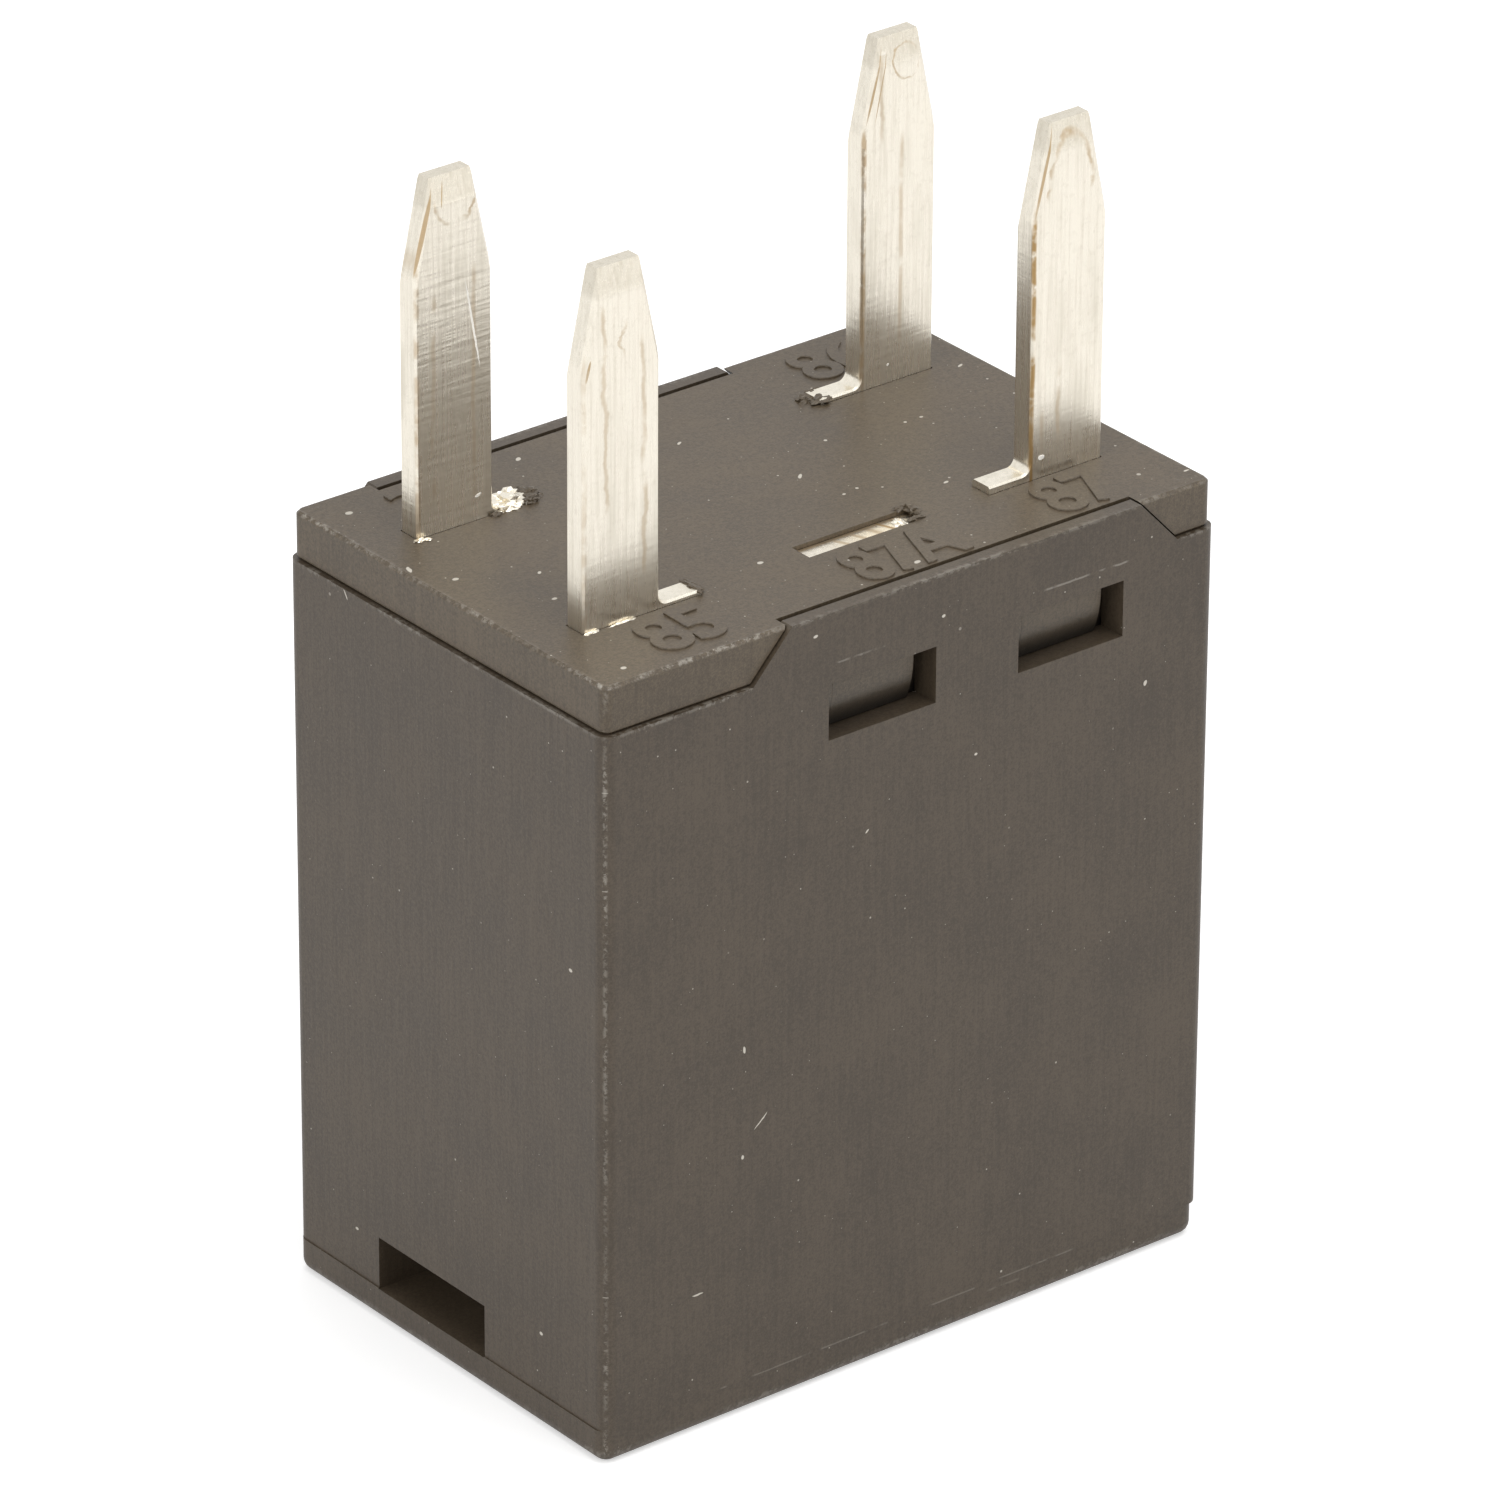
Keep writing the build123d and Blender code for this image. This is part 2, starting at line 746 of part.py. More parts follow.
def make_leaf():
    leaf = across(leaf_section(), leaf_width / 2, leaf_width)
    leaf = leaf & extrude(leaf_plan(), amount=rim_height)
    top = hinge_z + leaf_rise
    corners = leaf.edges().filter_by(Axis.X).filter_by(lambda e: e.center().Z > top - rivet_gap)
    leaf = fillet(corners, leaf_corner)
    leaf -= slab(
        yoke_x - wall,
        yoke_x + leaf_window_reach,
        -leaf_window_width / 2,
        leaf_window_width / 2,
        0,
        hinge_z + leaf_window_rise,
    )
    for side in (-1, 1):
        shank = Pos(0, side * rivet_spread, hinge_z + yoke_rivet_rise) * Rot(0, 90, 0)
        leaf -= shank * Cylinder(rivet_radius + rivet_gap, cover_length)
        hole = Pos(yoke_x + armature_rivet_reach, side * rivet_spread, armature_under)
        leaf -= at_rest(hole * Cylinder(rivet_radius + rivet_gap, armature_thickness))
    hole = Pos(contact_x, 0, armature_under) * Cylinder(contact_shank + rivet_gap, armature_thickness)
    return leaf - at_rest(hole)


def contact_button(height):
    """Contact button standing on z = 0: a short cylinder with a shallow crown, flat in its middle."""
    profile = (
        (0, 0),
        (contact_radius, 0),
        (contact_radius, height - contact_dome),
        (contact_flat, height),
        (0, height),
    )
    return turned(profile, 0, 0)


def make_moving_contact():
    upper = Pos(contact_x, 0, armature_under) * contact_button(moving_head)
    lower = Pos(contact_x, 0, leaf_under) * Rot(180, 0, 0) * contact_button(moving_back_head)
    middle = Pos(contact_x, 0, (armature_under + leaf_under) / 2)
    return at_rest(upper + lower + middle * Cylinder(contact_shank, 2 * leaf_thickness))


def fixed_contact(lug_z, facing):
    """Contact rivet in a lug with its near face at lug_z, facing up or down, closed over behind."""
    shank = Pos(0, 0, -strip_thickness / 2) * Cylinder(contact_shank, strip_thickness)
    upset_z = -strip_thickness - fixed_tail_height / 2
    upset = Pos(0, 0, upset_z) * Cylinder(fixed_tail_radius, fixed_tail_height)
    contact = contact_button(fixed_head) + shank + upset
    return Pos(contact_x, 0, lug_z) * (contact if facing == "up" else Rot(180, 0, 0) * contact)


def pair(make):
    """Two rivets, one each side of the middle."""
    return Compound(children=[solid for side in (-1, 1) for solid in make(side * rivet_spread, 0).solids()])


def build_parts():
    terminals = {
        "30": make_terminal_30(),
        "85": make_terminal_85(),
        "86": make_terminal_86(),
        "87": make_terminal_87(),
        "87a": make_terminal_87a(),
    }
    leads = {name: make_lead(*place) for name, place in lead_places().items()}
    parts = {
        "cover": make_cover(),
        "header": make_header(),
        "yoke": make_yoke(),
        "core": make_core(),
        "bobbin": make_bobbin(),
        "winding": make_winding(),
        "solder": make_solder(terminals, leads),
        "armature": make_armature(),
        "contact_spring": make_leaf(),
        "yoke_rivets": pair(yoke_rivet),
        "armature_rivets": pair(armature_rivet),
        "moving_contact": make_moving_contact(),
        "contact_87": fixed_contact(make_lug_z, "down"),
        "contact_87a": fixed_contact(rest_lug_z + strip_thickness, "up"),
    }
    for name, terminal in terminals.items():
        parts[f"terminal_{name}"] = terminal
    for name, lead in leads.items():
        parts[f"lead_{name}"] = lead
    return parts


os.makedirs("parts", exist_ok=True)
for node, solid in build_parts().items():
    export_step(solid, f"parts/{node}.step")
    print(node, round(solid.volume, 3))
print("rest angle", round(rest_angle, 3), "degrees, header top", round(header_top, 3))
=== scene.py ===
import bpy
import bmesh
import math
from mathutils import Matrix, Vector, noise as fieldNoise


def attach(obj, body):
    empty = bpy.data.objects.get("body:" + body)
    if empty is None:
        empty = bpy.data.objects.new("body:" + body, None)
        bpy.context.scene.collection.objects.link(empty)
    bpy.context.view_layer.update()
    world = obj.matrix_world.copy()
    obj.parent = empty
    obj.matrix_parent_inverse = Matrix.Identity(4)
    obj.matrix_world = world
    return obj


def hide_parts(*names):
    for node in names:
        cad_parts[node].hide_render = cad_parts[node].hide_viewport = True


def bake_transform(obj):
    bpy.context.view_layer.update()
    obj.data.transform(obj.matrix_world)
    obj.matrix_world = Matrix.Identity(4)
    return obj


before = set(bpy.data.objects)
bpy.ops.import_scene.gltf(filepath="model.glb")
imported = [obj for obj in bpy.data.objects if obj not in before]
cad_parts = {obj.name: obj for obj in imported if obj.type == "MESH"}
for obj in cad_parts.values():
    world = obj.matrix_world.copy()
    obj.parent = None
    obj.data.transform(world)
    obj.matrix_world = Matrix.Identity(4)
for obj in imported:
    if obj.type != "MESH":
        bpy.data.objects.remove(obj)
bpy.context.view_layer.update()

mm = 0.001  # the frame is in metres, the sizes below are in millimetres

relay = {
    "halfLength": 11.6,  # cover, along X
    "halfWidth": 7.7,  # cover, along Y
    "rim": 24.25,  # cover's rim
    "header": 25.8,  # top of the header plate
    "columns": 8.4,  # blades' middles, along X
    "rows": 4.0,  # blades' middles, along Y
    "tip": 37.2,  # blade tips
    "noseTop": 23.45,  # snap noses behind the windows
    "noseFoot": 21.7,
    "wallLeft": -6.1,  # raised wall of the cover, along the front
    "wallRight": 10.0,
}


# Shader maths


class Signal:
    # one output of a node, so that shader maths reads as plain expressions

    def __init__(self, tree, out=None):
        self.tree = tree
        self.out = out

    def node(self, kind, settings=None, sockets=None, out=0):
        made = self.tree.nodes.new(kind)
        for name, value in (settings or {}).items():
            setattr(made, name, value)
        for name, value in (sockets or {}).items():
            if isinstance(value, Signal):
                self.tree.links.new(value.out, made.inputs[name])
            else:
                made.inputs[name].default_value = value
        return Signal(self.tree, made.outputs[out])

    def maths(self, operation, *values):
        return self.node("ShaderNodeMath", {"operation": operation}, dict(enumerate(values)))

    def __add__(self, other):
        return self.maths("ADD", self, other)

    __radd__ = __add__

    def __sub__(self, other):
        return self.maths("SUBTRACT", self, other)

    def __rsub__(self, other):
        return self.maths("SUBTRACT", other, self)

    def __mul__(self, other):
        return self.maths("MULTIPLY", self, other)

    __rmul__ = __mul__

    def __truediv__(self, other):
        return self.maths("DIVIDE", self, other)

    def __abs__(self):
        return self.maths("ABSOLUTE", self)

    def most(self, other):
        return self.maths("MAXIMUM", self, other)

    def rise(self, low, high):
        # 0 below low, 1 above high, smooth between them; high may be the lower one
        settings = {"interpolation_type": "SMOOTHSTEP"}
        return self.node("ShaderNodeMapRange", settings, {"Value": self, "From Min": low, "From Max": high})

    def colour(self, first, second):
        # this value mixes from the first colour to the second
        sockets = {0: self, 6: rgba(first), 7: rgba(second)}
        return self.node("ShaderNodeMix", {"data_type": "RGBA"}, sockets, 2)


def rgba(colour):
    return colour if isinstance(colour, Signal) else (*colour, 1)


def newMaterial(name):
    made = bpy.data.materials.new(name)
    made.use_nodes = True
    tree = made.node_tree
    tree.nodes.clear()
    return made, Signal(tree)


def places(start):
    # the point in millimetres, and its three numbers
    point = start.node("ShaderNodeTexCoord", out="Object")
    point = start.node("ShaderNodeMapping", {}, {"Vector": point, "Scale": (1 / mm, 1 / mm, 1 / mm)})
    parts = point.node("ShaderNodeSeparateXYZ", {}, {"Vector": point})
    outs = parts.out.node.outputs
    return point, *[Signal(start.tree, outs[axis]) for axis in "XYZ"]


def stretched(point, scale, shift=(0, 0, 0)):
    return point.node("ShaderNodeMapping", {}, {"Vector": point, "Scale": scale, "Location": shift})


def noise(point, scale, detail=2.0, rough=0.5):
    sockets = {"Vector": point, "Scale": scale, "Detail": detail, "Roughness": rough}
    return point.node("ShaderNodeTexNoise", {}, sockets)


def specks(point, scale, size, share):
    # small dots on a flat face, each of its own size, in the given share of the cells
    flatCells = {"voronoi_dimensions": "2D"}
    cells = point.node("ShaderNodeTexVoronoi", flatCells, {"Vector": point, "Scale": scale})
    outs = cells.out.node.outputs
    parts = cells.node("ShaderNodeSeparateColor", {}, {"Color": Signal(cells.tree, outs["Color"])})
    pick = Signal(cells.tree, parts.out.node.outputs["Red"])
    luck = Signal(cells.tree, parts.out.node.outputs["Green"])
    smallest = 0.2  # as a part of the largest dot
    blur = 0.15  # width of a dot's soft edge, as a part of the largest dot
    reach = (luck * (1 - smallest) + smallest) * size * scale
    return (reach - cells).rise(0.0, blur * size * scale) * pick.rise(1 - share, 1 - share + 0.01)


ovalEdge = (1.3, 0.7)  # squared distance where a mark's soft edge begins, and where the mark is full


def mark(x, y, spot):
    # a small oval at a place on a face: x, y, half length, half width and turn in degrees
    atX, atY, long, short, turn = spot
    cosTurn, sinTurn = math.cos(math.radians(turn)), math.sin(math.radians(turn))
    along = ((x - atX) * cosTurn + (y - atY) * sinTurn) / long
    across = ((y - atY) * cosTurn - (x - atX) * sinTurn) / short
    return (along * along + across * across).rise(*ovalEdge)


def marks(x, y, spots, ragged):
    total = None
    for spot in spots:
        one = mark(x + ragged, y - ragged, spot)
        total = one if total is None else total.most(one)
    return total


def mixed(patterns, shares):
    # the patterns that the shares name, each by its share, added up
    total = None
    for name, share in shares.items():
        part = patterns[name] * share
        total = part if total is None else total + part
    return total


def surface(start, made, settings, bump=None, bumpDepth=0.0, bumpStrength=1.0):
    if bump is not None:
        sockets = {"Height": bump, "Distance": bumpDepth * mm, "Strength": bumpStrength}
        settings = dict(settings, Normal=start.node("ShaderNodeBump", {}, sockets))
    shader = start.node("ShaderNodeBsdfPrincipled", {}, settings)
    output = start.tree.nodes.new("ShaderNodeOutputMaterial")
    start.tree.links.new(shader.out, output.inputs["Surface"])
    return made


# Plastics


plastic = {
    "cover": (0.049, 0.0355, 0.0225),
    "coverPale": (0.083, 0.062, 0.041),
    "header": (0.064, 0.047, 0.029),
    "headerPale": (0.112, 0.084, 0.053),
    "dust": (0.58, 0.54, 0.47),
    "wear": (0.40, 0.37, 0.32),
    "gloss": 0.43,
    "grain": 8.0,  # moulded grain, cells per millimetre
    "grainDepth": 0.012,
    "grainStrength": 0.8,
    "hairline": 0.035,  # half width of a scribed line
    "noseGloss": 0.30,  # the snap noses behind the windows are glossier
    "noseFoot": (0.012, 0.010, 0.008),  # and are painted darker towards their feet: painted shade of the windows' recesses
    "noseShade": 0.5,  # this far below their tops the painted shade begins
    "polishedBelow": (24.0, 23.8),  # heights where the header's polish begins and is full
    "mottle": {"cloud": 0.2, "fine": 0.3, "sand": 0.28, "streak": 0.22},  # between dark and pale
    "contrast": (0.38, 0.62),  # mottle below the first is dark, above the second pale
    "relief": {"fine": 0.5, "sand": 0.3, "streak": 0.5, "drift": 0.4},
    "skin": (0.06, 0.02),  # marks on a face fade out between these depths under it
}

# Rubbed edges. A pair is two distances from an edge: where its wear begins and where it is full.
rubbing = {
    "inset": 0.13,  # the header's sides stand in from the cover's
    "side": (0.22, 0.05),
    "corner": 1.8,  # scuffs begin this far from a corner
    "headerTop": (0.14, 0.04),
    "scuff": (0.1, 0.02),
    "rim": (0.14, 0.04),
    "wallEnd": 0.1,  # the rim's wear stops over this length at a raised wall's ends
    "lip": (0.12, 0.03),
    "footTop": (0.5, 0.3),  # heights where the rubbed line round the closed end fades above
    "footUnder": (0.05, 0.2),  # and below
}
rubbingStrength = {
    "header": 0.7,
    "headerUpright": 0.6,
    "scuffs": 0.3,
    "upright": 1.8,
    "rim": 0.35,
    "lip": 0.3,
    "foot": 0.25,
}

# loose dust, in three sizes: cells per millimetre, largest radius, share of the cells, strength
dustLayers = {
    "header": [(0.5, 0.075, 0.06, 1.0), (1.5, 0.045, 0.09, 0.75), (3.1, 0.026, 0.10, 0.5)],
    "cover": [(0.5, 0.060, 0.03, 0.7), (1.5, 0.038, 0.06, 0.6), (3.1, 0.024, 0.05, 0.45)],
}

# dust and small scars that the photograph shows: place on the face, half sizes, turn
headerMarks = [
    (-10.3, 6.3, 0.13, 0.09, 0),
    (-11.2, 2.15, 0.19, 0.07, 65),
    (-10.5, 0.8, 0.1, 0.08, 0),
    (-9.0, -2.0, 0.09, 0.07, 0),
    (-8.3, -0.35, 0.09, 0.05, 40),
    (1.83, 0.08, 0.16, 0.06, 55),
    (0.4, 4.1, 0.11, 0.05, 30),
    (-4.1, 6.2, 0.13, 0.06, 25),
    (-2.8, -3.8, 0.1, 0.08, 0),
    (-10.2, -6.8, 0.1, 0.08, 0),
    (0.9, -6.6, 0.12, 0.08, 20),
    (5.0, -2.9, 0.1, 0.05, 20),
    (10.6, 3.2, 0.12, 0.05, 30),
    (6.7, 1.1, 0.06, 0.05, 0),
    (7.3, 1.1, 0.06, 0.05, 0),
    (2.1, -1.7, 0.06, 0.05, 0),
    (2.65, -1.6, 0.05, 0.05, 0),
    (11.2, -6.7, 0.1, 0.04, 10),
]
frontMarks = [
    (-6.39, 12.4, 0.12, 0.05, 100),
    (-5.76, 9.8, 0.32, 0.022, 42),
    (-6.44, 8.8, 0.07, 0.05, 90),
    (2.34, 19.45, 0.06, 0.04, 0),
    (-1.8, 18.2, 0.08, 0.03, 30),
    (8.9, 19.8, 0.09, 0.05, 60),
    (-3.8, 25.2, 0.09, 0.05, 0),
    (-7.9, 24.4, 0.08, 0.04, 0),
    (1.04, 24.4, 0.07, 0.05, 0),
    (-8.1, 4.7, 0.18, 0.025, 5),
]
leftMarks = [
    (4.75, 24.1, 0.16, 0.025, 50),
    (-6.1, 16.1, 0.08, 0.06, 0),
    (-4.6, 3.2, 0.08, 0.05, 0),
    (4.6, 2.7, 0.07, 0.05, 0),
]

# witness lines of the mould on the long face: start, end, height, strength
faceLines = [
    (-7.2, 6.7, 1.16, 0.2),
    (-3.0, -1.2, 24.12, 0.3),
    (4.9, 8.1, 24.1, 0.4),
    (3.2, 4.4, 0.86, 0.25),
]


def scribedLines(x, z, broken):
    # thin straight lines, soft at their ends, sagging a little and broken here and there
    softEnd, sagging = 0.1, 0.12
    widest, full = plastic["hairline"] * 1.3, plastic["hairline"] * 0.5
    total = None
    for start, end, height, strength in faceLines:
        inside = x.rise(start - softEnd, start + softEnd) * x.rise(end + softEnd, end - softEnd)
        sag = (broken - 0.5) * sagging
        line = abs(z - height + sag).rise(widest, full) * inside * strength
        total = line if total is None else total.most(line)
    return total * broken.rise(0.42, 0.56)


def headerWear(z, edgeX, edgeY, corners, rubbed, clusters):
    # the upper edge and the corners rub bare, and the top is scuffed towards its corners
    top = relay["header"]
    topEdge = z.rise(top - rubbing["headerTop"][0], top - rubbing["headerTop"][1])
    bare = (edgeX.most(edgeY) * topEdge).most(edgeX * edgeY * rubbingStrength["headerUpright"])
    onScuff = z.rise(top - rubbing["scuff"][0], top - rubbing["scuff"][1])
    scuffs = corners * onScuff * rubbingStrength["scuffs"]
    worn = bare * rubbed.rise(0.44, 0.64) * clusters * rubbingStrength["header"]
    return worn + scuffs * rubbed.rise(0.56, 0.7)


def coverWear(x, y, z, edgeX, edgeY, rubbed, clusters):
    # the upright edges rub most, then the rim, the lips of the raised walls and the closed end's edge
    # the rim is missing where a raised wall runs; the rear wall is the front one turned half round
    along = x * y.maths("SIGN", y) * -1
    fromLeft = along.rise(relay["wallLeft"] - rubbing["wallEnd"], relay["wallLeft"])
    wallHere = fromLeft * along.rise(relay["wallRight"] + rubbing["wallEnd"], relay["wallRight"])
    rim = abs(z - relay["rim"]).rise(*rubbing["rim"]) * edgeX.most(edgeY * (1 - wallHere))
    top = relay["header"]
    lip = z.rise(top - rubbing["lip"][0], top - rubbing["lip"][1]) * edgeY * rubbingStrength["lip"]
    foot = z.rise(*rubbing["footTop"]) * z.rise(*rubbing["footUnder"]) * rubbingStrength["foot"]
    worn = (edgeX * edgeY * rubbingStrength["upright"]).most(rim * rubbingStrength["rim"])
    return worn.most(lip).most(foot * edgeX.most(edgeY)) * rubbed.rise(0.47, 0.56) * clusters


def looseDust(start, across, up, layers):
    # the layers of dust on a face that is read across and up
    flat = start.node("ShaderNodeCombineXYZ", {}, {"X": across, "Y": up})
    total = None
    for scale, size, share, strength in layers:
        one = specks(flat, scale, size, share) * strength
        total = one if total is None else total.most(one)
    return total


def mouldedPlastic(name, dark, pale, isHeader):
    made, start = newMaterial(name)
    point, x, y, z = places(start)
    drift = noise(point, 2.2, 2.0)
    patterns = {
        "cloud": noise(point, 0.35, 3.0),
        "fine": noise(point, plastic["grain"], 3.0, 0.6),
        "drift": drift,
        "streak": noise(stretched(point, (6.5, 6.5, 0.35)), 1.0, 3.0, 0.6),
        "sand": noise(point, plastic["grain"] * 2, 2.0, 0.7),
    }
    body = mixed(patterns, plastic["mottle"]).rise(*plastic["contrast"]).colour(dark, pale)
    ragged = (drift - 0.5) * 0.12

    inset = rubbing["inset"] if isHeader else 0
    sideX = relay["halfLength"] - inset
    sideY = relay["halfWidth"] - inset
    edgeX = abs(x).rise(sideX - rubbing["side"][0], sideX - rubbing["side"][1])
    edgeY = abs(y).rise(sideY - rubbing["side"][0], sideY - rubbing["side"][1])
    rubbed = noise(point, 4.2, 4.0, 0.75)
    clusters = noise(point, 0.45, 2.0).rise(0.34, 0.62) * 0.7 + 0.3

    fades, full = plastic["skin"]
    if isHeader:
        reach = rubbing["corner"]
        corners = abs(x).rise(sideX - reach, sideX) * abs(y).rise(sideY - reach, sideY)
        wear = headerWear(z, edgeX, edgeY, corners, rubbed, clusters)
        onTop = z.rise(relay["header"] - fades, relay["header"] - full)
        loose = looseDust(start, x, y, dustLayers["header"])
        dust = marks(x, y, headerMarks, ragged).most(loose) * onTop
        # painted shade: the header's plastic is painted darker from a little below the noses' tops down to
        # their feet and all below, where the windows' recesses shade it
        paintedNoseShade = z.rise(relay["noseTop"] - plastic["noseShade"], relay["noseFoot"])
        body = paintedNoseShade.colour(body, plastic["noseFoot"])
    else:
        wear = coverWear(x, y, z, edgeX, edgeY, rubbed, clusters)
        onFront = y.rise(-relay["halfWidth"] + fades, -relay["halfWidth"] + full)
        onLeft = x.rise(-relay["halfLength"] + fades, -relay["halfLength"] + full)
        # x + y runs along each side of the cover in turn
        loose = looseDust(start, x + y, z, dustLayers["cover"])
        front = marks(x, z, frontMarks, ragged) * onFront
        dust = loose.most(front).most(marks(y, z, leftMarks, ragged) * onLeft)

    colour = dust.colour(wear.colour(body, plastic["wear"]), plastic["dust"])
    rough = (patterns["cloud"] - 0.5) * 0.12 + plastic["gloss"] + dust * 0.3
    if isHeader:
        rough = rough - z.rise(*plastic["polishedBelow"]) * (plastic["gloss"] - plastic["noseGloss"])
    else:
        scribed = scribedLines(x, z, noise(point, 1.4, 3.0)) * onFront
        colour = scribed.colour(colour, plastic["wear"])
    sockets = {"Base Color": colour, "Roughness": rough, "IOR": 1.5}
    relief = mixed(patterns, plastic["relief"])
    return surface(start, made, sockets, relief, plastic["grainDepth"], plastic["grainStrength"])


def paint(node, material):
    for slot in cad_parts[node].material_slots:
        slot.material = material


coverPlastic = mouldedPlastic("moulded_cover", plastic["cover"], plastic["coverPale"], False)
headerPlastic = mouldedPlastic("moulded_header", plastic["header"], plastic["headerPale"], True)
paint("cover", coverPlastic)
paint("header", headerPlastic)
print("plastics painted")


# Cheeks that close the side of each snap nose against its window


cheek = {
    "places": (-3.285, 3.915),  # left ends, at the front; the rear ones are turned half round
    "width": 0.48,
    "crest": -7.25,  # outermost
    "footFace": -6.95,
    "root": -6.4,
    "land": 0.3,  # upright part of the face, above the rounded ramp
    "steps": 10,
}


def noseCheek(name, left, turned):
    # the nose's own section: a few corners, the ramp spun round its middle, then drawn along X
    top, foot = relay["noseTop"], relay["noseFoot"]
    start = Vector((left, cheek["crest"], top - cheek["land"]))
    fall = start.z - foot
    lead = cheek["footFace"] - cheek["crest"]
    radius = (lead * lead + fall * fall) / (2 * lead)
    middle = start + Vector((0, radius, 0))
    form = bmesh.new()
    first = form.verts.new(start)
    ramp = {"geom": [first], "cent": middle, "axis": (1, 0, 0), "steps": cheek["steps"]}
    bmesh.ops.spin(form, angle=math.asin(fall / radius), **ramp)
    corners = sorted(form.verts, key=lambda corner: -corner.co.z)
    for y, z in ((cheek["root"], foot), (cheek["root"], top), (cheek["crest"], top)):
        corners.append(form.verts.new((left, y, z)))
    section = form.faces.new(corners)
    drawn = bmesh.ops.extrude_face_region(form, geom=[section])["geom"]
    far = [part for part in drawn if isinstance(part, bmesh.types.BMVert)]
    bmesh.ops.translate(form, verts=far, vec=(cheek["width"], 0, 0))
    bmesh.ops.recalc_face_normals(form, faces=form.faces)
    mesh = bpy.data.meshes.new(name)
    form.to_mesh(mesh)
    form.free()
    halfTurn = Matrix.Rotation(math.pi if turned else 0, 4, "Z")
    mesh.transform(Matrix.Scale(mm, 4) @ halfTurn)
    mesh.materials.append(headerPlastic)
    made = bpy.data.objects.new(name, mesh)
    bpy.context.collection.objects.link(made)
    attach(made, "housing")


for index, left in enumerate(cheek["places"]):
    noseCheek("nose_cheek_front_%d" % index, left, False)
    noseCheek("nose_cheek_rear_%d" % index, left, True)
print("nose cheeks set")


# Terminals


blade = {
    "bright": (0.885, 0.83, 0.72),
    "dull": (0.62, 0.57, 0.47),
    "brown": (0.42, 0.28, 0.13),
    "fresh": (0.97, 0.95, 0.90),
    "gloss": 0.27,
    "brushing": 9.0,  # fine lines across the blade, per millimetre
    "brushDepth": 0.008,
    "brushStrength": 0.7,
    "tipDull": 0.5,  # the coined tips are duller than the faces
    "coined": (1.05, 0.75),  # distances below the tip where the coined part begins and is full
    "tarnishFades": (33.5, 30.5),  # heights between which the tarnish grows on the way down
    "tarnishAbove": 0.25,  # share of it that is left above
    "stainDepth": (1.2, 0.8),  # stains end between these depths below the header's top
    "arris": (0.14, 0.06),  # the arris's stain fades this far behind the front face
    "skin": (0.1, 0.02),  # scratches lie on the front face and fade out this far behind it
    "stripEdge": 0.33,  # brown line along the cropped strip, from its middle
    "halfWidth": 1.4,
    "halfThick": 0.4,
    "lineWidth": 0.05,
}

# Each blade's own stains. A line is an offset across the blade, a lowest and a highest z and a sway;
# a scratch or a bead is an offset, a z, two half sizes and a turn; a crack is an x and a half width.
# A ring is an offset, a z, two half sizes and the part that shows: -1 the lower, 1 the upper, 0 all.
# The side is the blade's column, and the shift moves its patterns, so that no two blades are alike.
bladeLooks = {
    "terminal_30": {
        "side": -1,
        "ring": (0.1, 36.35, 0.75, 0.75, -1),
        "dark": [(-1.05, 35.5, 1.35, 0.05, 76), (-0.35, 36.6, 0.4, 0.02, 80)],
        "shift": 3.1,
        "chatter": 1.6,
        "tarnish": 0.50,
        "edge": 0.5,
        "lines": [(-0.75, 27.0, 33.4, 0.15), (0.72, 26.6, 34.0, 0.12)],
        "bright": [(0.7, 32.2, 1.45, 0.04, -80), (0.85, 26.6, 0.12, 0.05, 20), (-0.9, 36.9, 0.22, 0.12, 30)],
    },
    "terminal_85": {
        "side": -1,
        "ring": None,
        "dark": [(-1.2, 34.1, 0.35, 0.05, 75)],
        "shift": 11.7,
        "chatter": 0.7,
        "tarnish": 0.25,
        "edge": 0.3,
        "lines": [(-0.62, 29.6, 35.9, 0.45), (0.85, 27.2, 34.6, 0.30), (0.2, 34.4, 35.2, 1.4)],
        "bright": [],
    },
    "terminal_86": {
        "side": 1,
        "ring": (0.25, 36.3, 0.45, 0.58, 0),
        "dark": [(-0.95, 35.7, 1.2, 0.025, 76), (-0.72, 35.6, 1.1, 0.02, 78)],
        "shift": 23.9,
        "chatter": 0.9,
        "tarnish": 0.25,
        "edge": 0.7,
        "lines": [(-0.7, 34.0, 36.6, 0.30), (0.1, 27.0, 34.0, 0.05)],
        "bright": [(-0.62, 36.75, 0.16, 0.10, 0), (-0.35, 26.4, 0.05, 0.05, 0)],
    },
    "terminal_87": {
        "side": 1,
        "ring": (0.0, 34.9, 0.85, 1.85, 1),
        "dark": [(-1.0, 35.6, 1.5, 0.03, 77)],
        "shift": 37.3,
        "chatter": 0.7,
        "tarnish": 0.30,
        "edge": 1.0,
        "lines": [(-0.95, 26.6, 27.9, 0.03), (-0.3, 26.8, 29.2, 0.2)],
        "bright": [(-0.95, 26.45, 0.13, 0.08, 0)],
    },
    "terminal_87a": {
        "side": 0,
        "shift": 51.2,
        "chatter": 0.7,
        "tarnish": 0.2,
        "bright": [],
        "cracks": [(1.88, 0.05), (1.35, 0.09), (0.75, 0.07), (0.1, 0.06)],
    },
}


